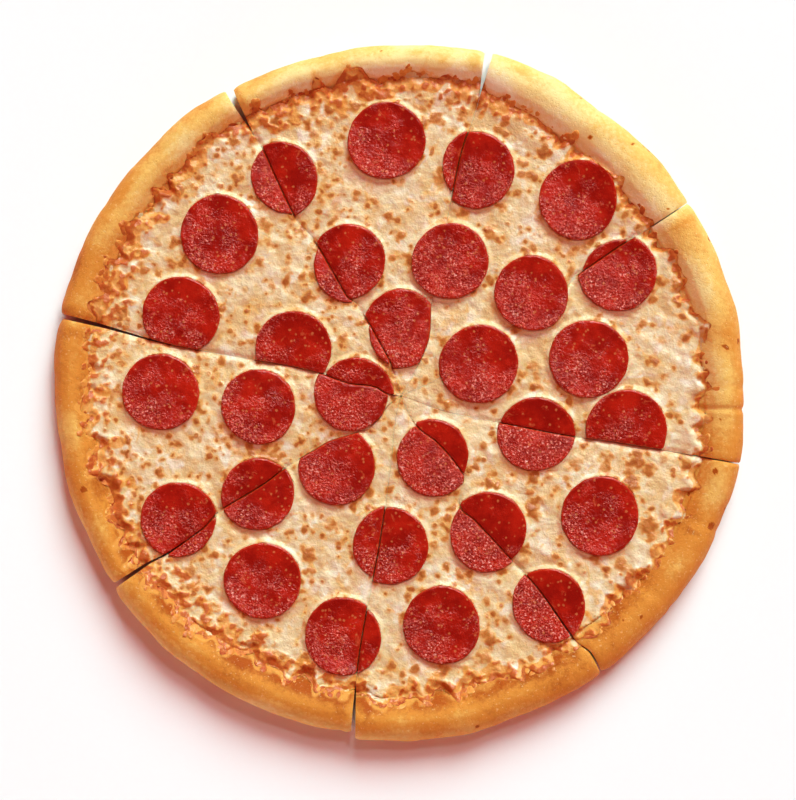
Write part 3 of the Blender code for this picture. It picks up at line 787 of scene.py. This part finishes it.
# How far above the dough the cheese starts: over the sauce, and at its own thin edge
CHEESE_BOTTOM, CHEESE_EDGE = 0.33, 0.04
CHEESE_FOOT = 14.0
CHEESE_DIP = 1.3
CHEESE_STEP, CHEESE_COARSE_STEP = 0.7, 4.0
CHEESE_TIP, CHEESE_CUT = 0.4, 0.12
PEPPERONI_GAP, PEPPERONI_THICKNESS = 0.55, 1.9
HALF_PRESS = 0.9
# The lip round a pepperoni: how high on its thickness, its share of that rise, and how far it and the oil reach
LIP_HEIGHT, LIP_SHARE, LIP_REACH, OIL_REACH = 0.48, 0.72, 1.5, 3.2
# Each pepperoni: its number, diameter, and for each piece the slice it lies on and its centre
# Slice 0 stands for a whole piece that lies across a cut
PEPPERONI = (
    (1, 39.3, ((8, -6.8, 127.5),)), (2, 39.0, ((7, -55.8, 109.6), (8, -61.4, 107.6))),
    (3, 39.2, ((8, 41.4, 114.0), (1, 38.6, 112.7))), (4, 39.9, ((7, -91.7, 79.8),)),
    (5, 40.0, ((1, 90.7, 97.4),)), (6, 37.9, ((7, -24.9, 64.5), (8, -26.4, 66.0))),
    (7, 38.8, ((0, 25.6, 66.2),)), (8, 39.4, ((1, 112.9, 57.8), (2, 110.8, 60.4))),
    (9, 39.1, ((7, -111.4, 38.7),)), (10, 37.8, ((0, 67.0, 49.9),)), (11, 39.2, ((7, -54.2, 21.0),)),
    (12, 39.9, ((7, 4.2, 31.8), (8, 0.6, 31.8))), (13, 40.0, ((0, 40.2, 13.9),)),
    (14, 39.8, ((2, 96.0, 16.5),)), (15, 38.8, ((6, -121.6, -0.4),)), (16, 37.8, ((6, -71.9, -7.8),)),
    (17, 38.2, ((7, -22.0, -2.2), (6, -24.9, -0.9))), (18, 39.3, ((5, -32.0, -38.1),)),
    (19, 38.8, ((3, 15.4, -33.5), (4, 18.0, -34.0))), (20, 39.2, ((2, 69.5, -22.6), (3, 69.3, -21.0))),
    (21, 40.8, ((2, 115.4, -19.5),)), (22, 38.8, ((6, -112.4, -65.7), (5, -113.2, -64.7))),
    (23, 38.6, ((6, -71.9, -53.7), (5, -72.9, -51.1))), (24, 39.8, ((3, 101.9, -63.4),)),
    (25, 39.0, ((3, 44.8, -70.8), (4, 45.0, -72.3))), (26, 39.2, ((4, -5.3, -78.9), (5, -4.0, -77.7))),
    (27, 38.8, ((5, -69.8, -96.3),)), (28, 39.5, ((4, -29.5, -125.4), (5, -28.5, -124.6))),
    (29, 39.3, ((4, 21.3, -119.0),)), (30, 38.7, ((3, 75.1, -109.8), (4, 76.4, -108.0))),
)
# For each slice: how many blisters on a hundred square centimetres, and their middling radius
BLISTERS = ((120, 1.4), (95, 1.55), (75, 1.7), (85, 1.55), (150, 1.25), (190, 1.15), (190, 1.15), (135, 1.35))
# Places tried for each blister, how far out they reach, and the share of them that is chosen
TRIES, BLISTERED, CHOSEN = 95, 155, 0.02
# How strongly the cheese is burnt along the rim, by bearing
EDGE_BURNT = ((0, 0.95), (12, 1.0), (22, 0.7), (50, 0.5), (75, 0.4), (100, 0.4), (125, 0.6), (150, 0.75),
              (180, 0.7), (205, 0.9), (230, 1.05), (250, 0.85), (275, 0.8), (290, 1.05), (300, 0.9),
              (320, 0.65), (335, 0.9), (350, 1.05), (360, 0.95))


def melt_height(slice_no, share, distance, inward, width, x, y):
    """The cheese's form before its lumps: flat, rising at the rim and pressed down beside the cuts."""
    past_rim = np.clip(inward - width, 0, CHEESE_FOOT)
    height = smooth_line((-2.2, 0.0, CHEESE_FOOT), (15.6, 14.3, CHEESE_HEIGHT), past_rim)
    fade = smooth_step(past_rim / CHEESE_FOOT)
    swell = 0.2 * np.sin(x / 19.0 + slice_no) * np.cos(y / 23.0)
    return height + (swell - CHEESE_DIP * dip(slice_no, share, distance)) * fade


def lying_height(x, y, slice_no):
    """Height of a pepperoni's underside before it curls, on a slice or, for 0, whole across a cut."""
    if slice_no == 0:
        return CHEESE_HEIGHT + PEPPERONI_GAP + 0 * x
    distance, share, inward, width = locate(x, y, slice_no)
    melted = melt_height(slice_no, share, distance, inward, width, x, y)
    surface = np.maximum(melted, dough_height(slice_no, share, distance, inward, width))
    press = HALF_PRESS * np.exp(-to_sides(slice_no, distance, share) / 10.0)
    return surface + PEPPERONI_GAP - press * smooth_step((distance - 12.0) / 30.0)


def curl(number, radius, x, y, middle):
    """How far a pepperoni's edge has curled up in the oven, more on one side than the other."""
    draw = np.random.default_rng(500 + number)
    lift, turn = draw.uniform(0.65, 1.15), draw.uniform(0, 2 * math.pi)
    across, up = (x - middle[0]) / radius, (y - middle[1]) / radius
    away = np.hypot(across, up)
    angle = np.arctan2(up, across)
    uneven = 0.75 + 0.25 * np.cos(2 * angle + turn) + 0.2 * np.cos(angle - turn)
    return lift * uneven * np.minimum(away, 1.1) ** 4


def beyond_cut(points, cut, side):
    """How far points lie on the kept side of a cut's edge."""
    distance, bearing = polar(*points.T)
    turn = (bearing - cut_bearing(cut, distance) + math.pi) % (2 * math.pi) - math.pi
    return side * turn * distance - cut_width(cut, distance) / 2


def disc_outline(number, radius, middle, slice_no, step):
    """A pepperoni piece's edge: a circle a little out of true, or the part of it on its own slice."""
    angle = np.linspace(0, 2 * math.pi, int(2 * math.pi * radius / step), endpoint=False)
    uneven = 1 + 0.014 * np.sin(2 * angle + number) + 0.009 * np.sin(3 * angle + 2.3 * number)
    uneven += 0.004 * np.sin(9 * angle + 3 * number) + 0.003 * np.sin(17 * angle + number)
    ring = np.array(middle) + np.stack((radius * uneven * np.cos(angle), radius * uneven * np.sin(angle)), 1)
    if slice_no == 0:
        return ring
    for cut, side in ((slice_no, 1), (slice_no + 1, -1)):
        ring = clipped(ring, cut, side, step)
    return ring


def clipped(ring, cut, side, step):
    """The part of a ring on one side of a cut, closed along the cut's edge."""
    kept = beyond_cut(ring, cut, side) > 0
    if kept.all():
        return ring
    start = int(np.flatnonzero(kept & ~np.roll(kept, 1))[0])
    ring, kept = np.roll(ring, -start, axis=0), np.roll(kept, -start)
    arc = ring[:int(np.flatnonzero(~kept)[0])]
    leaving, entering = polar(*arc[-1])[0], polar(*arc[0])[0]
    distance = np.linspace(leaving, entering, max(int(abs(entering - leaving) / step), 2) + 1)[1:-1]
    bearing = cut_bearing(cut, distance) + side * cut_width(cut, distance) / 2 / distance
    return np.concatenate((arc, np.stack(place(distance, bearing), 1)))


def scatter_blisters():
    """Places, radii and strengths of the brown blisters, more where the heat gathered."""
    draw = np.random.default_rng(77)
    found = []
    for slice_no, (many, radius) in zip(SLICES, BLISTERS):
        total = many * TRIES
        distance = BLISTERED * np.sqrt(draw.uniform(0, 1, total))
        bearing = bearing_at(slice_no, draw.uniform(0, 1, total), distance)
        x, y = place(distance, bearing)
        chosen = draw.uniform(0, 1, total) < CHOSEN * np.exp(0.8 * waves(flat_spots(x, y), 11, 55))
        size = 1.1 * radius * np.exp(draw.normal(0, 0.36, total))
        strength = np.clip(draw.normal(0.86, 0.24, total), 0.3, 1.1)
        found.append(np.stack((x, y, size, strength), 1)[chosen])
    kept = []
    for x, y, size, strength in np.concatenate(found):
        if all(math.hypot(x - other[0], y - other[1]) > 1.05 * (size + other[2]) for other in kept):
            kept.append((x, y, size, strength))
    joined = []
    for x, y, size, strength in kept:
        for _ in range(draw.integers(0, 4 if size > 1.4 else 2)):
            turn, away = draw.uniform(0, 2 * math.pi), size * draw.uniform(0.8, 1.5)
            joined.append((x + away * math.cos(turn), y + away * math.sin(turn),
                           size * draw.uniform(0.45, 0.85), strength * draw.uniform(0.6, 1.0)))
    return np.array(kept + joined)


def cheese_bottom(x, y, slice_no):
    """The height that the cheese lies at: on the sauce, and on the bare dough along its thin edge."""
    _, share, inward, _ = locate(x, y, slice_no)
    on_sauce = smooth_step((inward - edge_inset(slice_no, share)) / 2.5)
    return dough_surface(x, y, slice_no) + CHEESE_EDGE + (CHEESE_BOTTOM - CHEESE_EDGE) * on_sauce


def cheese_fields(slice_no, x, y, discs, blisters):
    """The cheese's top height at places on a slice, and what its colour depends on there."""
    distance, share, inward, width = locate(x, y, slice_no)
    spots = flat_spots(x, y)
    height = melt_height(slice_no, share, distance, inward, width, x, y)
    dough = dough_surface(x, y, slice_no)
    inside = inward - edge_inset(slice_no, share)
    thick = np.where(inward > width, height - dough, 1.1) * (0.10 + 0.90 * smooth_step(inside / 6.0))
    height = dough + thick
    lumps = 0.30 * waves(spots, 9, 61, 40) + 0.25 * waves(spots, 4.2, 62, 60) + 0.11 * waves(spots, 2.4, 63, 80)
    height += lumps * smooth_step(inside / 4.0)

    warp = 1 + 0.24 * waves(spots, 2.4, 64, 50) + 0.12 * waves(spots, 1.5, 65, 60)
    brown, halo, dome = np.zeros(len(x)), np.zeros(len(x)), np.zeros(len(x))
    own = blisters[(np.abs(blisters[:, :2] - spots[:, :2].mean(0)) < np.ptp(spots[:, :2], axis=0)).all(1)]
    for bx, by, size, strength in own:
        near = np.flatnonzero((np.abs(x - bx) < size + 4) & (np.abs(y - by) < size + 4))
        away = np.hypot(x[near] - bx, y[near] - by) * warp[near]
        brown[near] = 1 - (1 - brown[near]) * (1 - strength * smooth_step((1.4 - away / size) / 0.95))
        halo[near] = 1 - (1 - halo[near]) * (1 - strength * smooth_step((size + 2.2 - away) / 3.0))
        dome[near] = np.maximum(dome[near], 0.28 * size * smooth_step(1.2 - away / size))
    height += 0.55 * dome

    burnt = by_bearing(EDGE_BURNT, polar(x, y)[1])
    depth = inside / (2.2 + 9.5 * burnt ** 1.7)
    patches, knots, crumbs = waves(spots, 6.5, 71, 50), waves(spots, 3.6, 73, 70), waves(spots, 1.9, 74, 90)
    toasted = smooth_step((1.05 - depth + 0.5 * patches + 0.2 * knots) / 0.55)
    toasted = toasted * smooth_step((1.8 - depth) / 0.6)
    beads = np.exp(-((inside - 1.2) / 1.5) ** 2) * (1 + 0.8 * crumbs)
    charred = smooth_step((0.56 * burnt - 0.42 * depth + 0.62 * knots + 0.38 * crumbs
                           + (0.14 + 0.28 * burnt) * beads) / 0.8)
    charred = charred * smooth_step((1.6 - depth) / 0.5)
    height += 0.7 * charred * smooth_step(inside / 1.5)

    oil, pale = np.zeros(len(x)), np.zeros(len(x))
    for number, radius, middle, outline, on in discs:
        near = np.flatnonzero(np.hypot(x - middle[0], y - middle[1]) < radius + 7)
        away = edge_distance(np.stack((x[near], y[near]), 1), outline)
        beyond = np.maximum(away, 0)
        low = lying_height(x[near], y[near], on) + curl(number, radius, x[near], y[near], middle)
        risen = LIP_SHARE * (low + LIP_HEIGHT * PEPPERONI_THICKNESS - height[near])
        lip = height[near] + risen * np.exp(-(beyond / LIP_REACH) ** 2)
        height[near] = np.where(away < 0, np.minimum(low - 0.2, lip), np.maximum(lip, height[near]))
        oil[near] = np.maximum(oil[near], np.exp(-(beyond / OIL_REACH) ** 2))
        pale[near] = np.maximum(pale[near], np.exp(-((away - 0.9) / 0.9) ** 2))

    parted = smooth_step((distance - 25.0) / 45.0)
    height -= 0.75 * np.exp(-(to_sides(slice_no, distance, share) / 1.3) ** 2) * (0.12 + 0.88 * parted)
    height = np.maximum(height, cheese_bottom(x, y, slice_no) + 0.08)
    fringe = np.exp(-(inside / 1.9) ** 2) * np.clip(0.6 + 0.5 * burnt, 0, 1)
    return height, {"brown": brown, "halo": halo, "toasted": toasted, "charred": charred, "oil": oil,
                    "pale": pale, "fringe": fringe}


def melted_cheese():
    """Creamy cheese with brown blisters, orange fat and, where it is thin, the sauce's pink."""
    cheese = Finish("melted_cheese", Roughness=0.36, Subsurface_Weight=0.12, Subsurface_Scale=0.0025, IOR=1.42)
    fine = cheese.clouds(0.9, 2.0, 0.6) - 0.5
    grain = cheese.clouds(2.0, 3.0, 0.62) - 0.5
    pools = cheese.clouds(8.0, 3.0, 0.55) + grain * 0.4
    milk = cheese.clouds(4.0, 2.0, 0.5, 0.5) + fine * 0.15
    fat = cheese.clouds(5.0, 2.0, 0.5, 1.6) + grain * 0.3
    thin = cheese.clouds(9.0, 3.0, 0.6) + grain * 0.4
    body = cheese.coats(
        shade(228, 184, 128), (pools, 0.32, 0.70, 1, (238, 210, 170)), (milk, 0.52, 0.74, 0.8, (246, 226, 204)),
        (fat, 0.56, 0.74, 0.6, (236, 172, 84)), (thin, 0.58, 0.76, 0.6, (212, 138, 104)))
    body = (cheese.stored("pale") * 0.35).tint(body, shade(238, 204, 156))
    # The smallest spots are in the material alone: their size differs by chance, and they come in patches
    dots, chance = cheese.dots(6.4)
    patches = (cheese.clouds(16.0, 2.0) + chance * 0.5).over(0.7, 1.05)
    small = dots.over(chance * 0.22 + 0.12, chance * 0.10 + 0.03) * patches
    glow = dots.over(chance * 0.3 + 0.28, chance * 0.2 + 0.05) * patches
    halo = cheese.stored("halo").most(glow * 0.8) + grain * 0.6 + fine * 0.2
    spot = cheese.stored("brown").most(small) + grain * 0.6 + fine * 0.5
    toasted = cheese.stored("toasted") + grain * 0.9 + fine * 0.3
    fringe = cheese.stored("fringe") + grain * 0.7
    charred = cheese.stored("charred") + grain * 1.1 + fine * 0.5
    body = cheese.coats(
        body, (halo, 0.25, 1.05, 0.85, (230, 160, 80)),
        (spot, 0.35, 0.9, 0.9, (200, 116, 50)), (spot, 0.75, 1.25, 0.75, (160, 76, 32)),
        (toasted, 0.1, 0.75, 0.9, (230, 152, 70)), (fringe, 0.2, 0.8, 0.9, (222, 138, 58)),
        (charred, 0.2, 0.7, 0.8, (228, 142, 60)), (charred, 0.55, 1.05, 0.82, (188, 78, 32)))
    cheese.wear(Base_Color=body, Roughness=0.36 + grain * 0.5 - cheese.stored("oil") * 0.1,
                Normal=cheese.bump(grain * 0.9 + fine * 0.9 + small * 0.8, 0.5))
    return cheese.owner


cheese_finish = melted_cheese()
blisters = scatter_blisters()
pieces = []
for number, diameter, parts in PEPPERONI:
    for letter, (on, x, y) in zip("ab", parts):
        outline = disc_outline(number, diameter / 2, (x, y), on, 0.8)
        pieces.append((number, diameter / 2, (x, y), outline, on, letter if len(parts) > 1 else ""))
for slice_no in SLICES:
    near_discs = [piece[:5] for piece in pieces if piece[4] in (0, slice_no)]
    outline = layer_outline(slice_no, CHEESE_TIP, edge_inset, CHEESE_CUT, CHEESE_STEP)
    fields = {}

    def top_height(x, y):
        height, found = cheese_fields(slice_no, x, y, near_discs, blisters)
        fields.update(found)
        return height

    points, faces = layer_solid(outline, CHEESE_STEP, CHEESE_COARSE_STEP, top_height,
                                lambda x, y: cheese_bottom(x, y, slice_no))
    shown = {name: np.pad(values, (0, len(points) - len(values))) for name, values in fields.items()}
    melted = add_piece(f"melted_cheese_{slice_no}", points, faces, shown, (cheese_finish,), sharp=70)
    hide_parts(f"cheese_{slice_no}")

# Burnt bits: crumbs of cheese that fell on the rim's inner slope and fried there, red-brown and glossy. They
# are spread thickest where the edge burnt most.
BIT_RINGS, BIT_SIDES = 4, 16
CLEAR_OF_MEAT = 3.0
# The bits lie in knots: how many knots a slice has at most, and how many bits a knot
BIT_KNOTS, KNOT_BITS = 16, 4
# A bit's height as a share of its half width, and how far its hidden underside lies in the dough
BIT_HEIGHT, BIT_DEPTH = 0.34, 0.35


def fried_bits():
    """Cheese fried hard: amber where it is thin and red-brown where it is thick."""
    bits = Finish("fried_cheese", Roughness=0.42, Specular_IOR_Level=0.4)
    fine = bits.clouds(1.0, 2.0, 0.6) - 0.5
    darkness = bits.stored("darkness") + fine * 0.9
    body = bits.coats(shade(234, 158, 74), (darkness, 0.1, 0.8, 1, (214, 122, 48)),
                      (darkness, 0.7, 1.2, 1, (182, 76, 32)))
    bits.wear(Base_Color=body, Normal=bits.bump(fine, 0.6))
    return bits.owner


def fry_bit(draw, slice_no, x, y, size, darkness):
    """One bit: a low, uneven dome on the dough, closed a little way below its surface."""
    turn, long = draw.uniform(0, math.pi), draw.uniform(1.0, 1.7)
    angle = np.linspace(0, 2 * math.pi, BIT_SIDES, endpoint=False)
    phase = draw.uniform(0, 2 * math.pi, 3)
    waviness = zip((0.12, 0.10, 0.05), (2, 3, 5), phase)
    uneven = 1 + sum(high * np.cos(many * angle + start) for high, many, start in waviness)
    rings, faces = [np.array([[x, y, 1.0]])], []
    for ring in range(1, BIT_RINGS + 1):
        share = ring / BIT_RINGS
        along, across = size * long * uneven * share * np.cos(angle), size * uneven * share * np.sin(angle)
        rings.append(np.stack((x + along * math.cos(turn) - across * math.sin(turn),
                               y + along * math.sin(turn) + across * math.cos(turn),
                               np.full(BIT_SIDES, math.sqrt(1 - share ** 2.4))), 1))
    points = np.concatenate(rings + [rings[-1], np.array([[x, y, 0.0]])])
    step = np.arange(BIT_SIDES)
    following = (step + 1) % BIT_SIDES
    faces.append(np.stack((0 * step, 1 + step, 1 + following), 1))
    for ring in range(BIT_RINGS):
        inner, outer = 1 + ring * BIT_SIDES, 1 + (ring + 1) * BIT_SIDES
        faces.append(np.stack((inner + step, outer + step, outer + following), 1))
        faces.append(np.stack((inner + step, outer + following, inner + following), 1))
    last = 1 + BIT_RINGS * BIT_SIDES
    faces.append(np.stack((last + following, last + step, np.full(BIT_SIDES, len(points) - 1)), 1))
    dome = points[:, 2].copy()
    lying = dough_surface(points[:, 0], points[:, 1], slice_no)
    points[:, 2] = lying - 0.1 + dome * BIT_HEIGHT * size * (1 + 0.2 * waves(points * [1, 1, 0], 1.5, 91))
    points[last:, 2] = lying[last:] - BIT_DEPTH
    return points, np.concatenate(faces), darkness * (0.45 + 0.75 * dome)


bit_finish = fried_bits()
draw = np.random.default_rng(12)
for slice_no in SLICES:
    parts, shown = [], []
    knots = draw.uniform(0.03, 0.97, BIT_KNOTS)
    for share in np.clip(knots[:, None] + draw.normal(0, 0.016, (BIT_KNOTS, KNOT_BITS)), 0.02, 0.98).ravel():
        share = np.array([share])
        inset = edge_inset(slice_no, share) - np.clip(draw.normal(0.0, 1.2), -2.5, 2.6)
        distance = outline_distance(slice_no, share) - inset
        bearing = bearing_at(slice_no, share, distance)
        if draw.uniform(0, 1.25) > by_bearing(SINGED, bearing)[0]:
            continue
        x, y = (value[0] for value in place(distance, bearing))
        gaps = [math.hypot(x - middle[0], y - middle[1]) - radius for _, radius, middle, *_ in pieces]
        if min(gaps) < CLEAR_OF_MEAT:
            continue
        size = min(1.25 * math.exp(draw.normal(0, 0.35)), 2.4)
        bit_points, bit_faces, darkness = fry_bit(draw, slice_no, x, y, size, draw.uniform(0.2, 1.0))
        parts.append((bit_points, bit_faces + sum(len(part[0]) for part in parts)))
        shown.append(darkness)
    if parts:
        points, faces = (np.concatenate(values) for values in zip(*parts))
        fields = {"darkness": np.concatenate(shown)}
        bits = add_piece(f"fried_bits_{slice_no}", points, faces, fields, (bit_finish,))

# Pepperoni: thin rounds of cured sausage that curled up a little at the edge and let out their fat. The
# wheel went through fourteen of them, and their halves lie pressed down into the cut.
PEPPERONI_STEP, PEPPERONI_COARSE_STEP = 0.8, 3.5
# How oily each piece is, which also sets its painted sheen and glints, and painted shade on the dull ones: most
# are as the first number says, and the named ones differ
WET_AND_SHEEN = 0.42
PIECE_WET_AND_SHEEN = {"20b": 0.95, "19b": 0.75, "25b": 0.75, "30b": 0.95, "17a": 0.65, "12b": 0.5, "08b": 0.55, "07": 0.6,
          "30a": 0.12, "20a": 0.15, "25a": 0.25, "19a": 0.25, "12a": 0.2, "23b": 0.3, "26b": 0.3, "17b": 0.45}


def cured_sausage():
    """Deep red meat with pale and orange flecks of fat, oily, with painted glints where it is oiliest and
    painted shade where it is dull.
    """
    meat = Finish("cured_sausage", Roughness=0.3, Specular_IOR_Level=0.36)
    fine = meat.clouds(0.65, 2.0, 0.7) - 0.5
    grain = meat.clouds(1.6, 3.0, 0.65) - 0.5
    patch = meat.clouds(7.0, 2.0, 0.5) + grain * 0.5
    fat = meat.clouds(2.4, 2.0, 0.6, 0.6) + fine * 0.25
    speck = meat.cells(3.4) + fine * 0.3
    rim = meat.stored("rim") + grain * 0.6
    body = meat.coats(
        shade(146, 14, 4), (patch, 0.3, 0.75, 1, (194, 32, 12)), (fat, 0.62, 0.76, 0.6, (212, 92, 54)),
        (speck, 0.26, 0.10, 0.55, (226, 132, 78)), (rim, 0.45, 1.0, 0.7, (206, 62, 26)))
    # Patches where the meat is oilier, with more bump and more painted sheen
    sheen_patches = (meat.clouds(6.0, 2.0, 0.5, 0.4) + grain * 0.4).over(0.32, 0.68)
    wet_and_sheen = (meat.stored("wet_and_sheen") + (sheen_patches - 0.5) * 0.6).over(0.0, 1.0)
    # Painted shade: the dull parts are darkened
    body = ((1 - wet_and_sheen) * 0.2).tint(body, shade(148, 20, 14))
    # Painted glints: pink and near-white flecks where the meat is oiliest
    painted_glints = meat.clouds(0.55, 1.0, 0.5) + grain * 0.25
    body = (wet_and_sheen.over(0.2, 0.95) * painted_glints.over(0.48, 0.60) * 0.5).tint(body, shade(226, 92, 72))
    body = (wet_and_sheen.over(0.5, 1.1) * painted_glints.over(0.61, 0.72) * 0.75).tint(body, shade(246, 176, 160))
    meat.wear(Base_Color=body, Roughness=0.22 + grain * 0.3,
              Normal=meat.bump((grain * 0.5 + fine * 1.7) * (0.1 + wet_and_sheen * 1.3), 0.66))
    return meat.owner


meat_finish = cured_sausage()
for number, radius, middle, outline, on, letter in pieces:
    def meat_top(x, y):
        away = -edge_distance(np.stack((x, y), 1), outline)
        rounded = 0.5 * (1 - np.sqrt(1 - (1 - np.clip(away / 0.7, 0, 1)) ** 2))
        spots = flat_spots(x, y, 40 * number)
        bumps = 0.10 * waves(spots, 6, 81) + 0.05 * waves(spots, 2.4, 82, 50) - 0.15
        flat = lying_height(x, y, on) + PEPPERONI_THICKNESS
        return flat + curl(number, radius, x, y, middle) - rounded + bumps

    def meat_low(x, y):
        return lying_height(x, y, on) + 0.85 * curl(number, radius, x, y, middle)

    points, faces = layer_solid(outline, PEPPERONI_STEP, PEPPERONI_COARSE_STEP, meat_top, meat_low)
    rim = np.exp(edge_distance(points[:, :2], outline) / 1.2)
    name = f"{number:02d}{letter}"
    # The painted sheen is stronger towards the lower left edge, which curls up towards the window
    toward_light = ((middle[0] - points[:, 0]) * 0.5 + (middle[1] - points[:, 1]) * 0.85) / radius
    wet_and_sheen = PIECE_WET_AND_SHEEN.get(name, WET_AND_SHEEN) + 0.42 * toward_light
    fields = {"rim": rim, "wet_and_sheen": wet_and_sheen}
    meat = add_piece(f"pepperoni_slice_{name}", points, faces, fields, (meat_finish,), sharp=60)
    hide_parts(f"pepperoni_{name}")
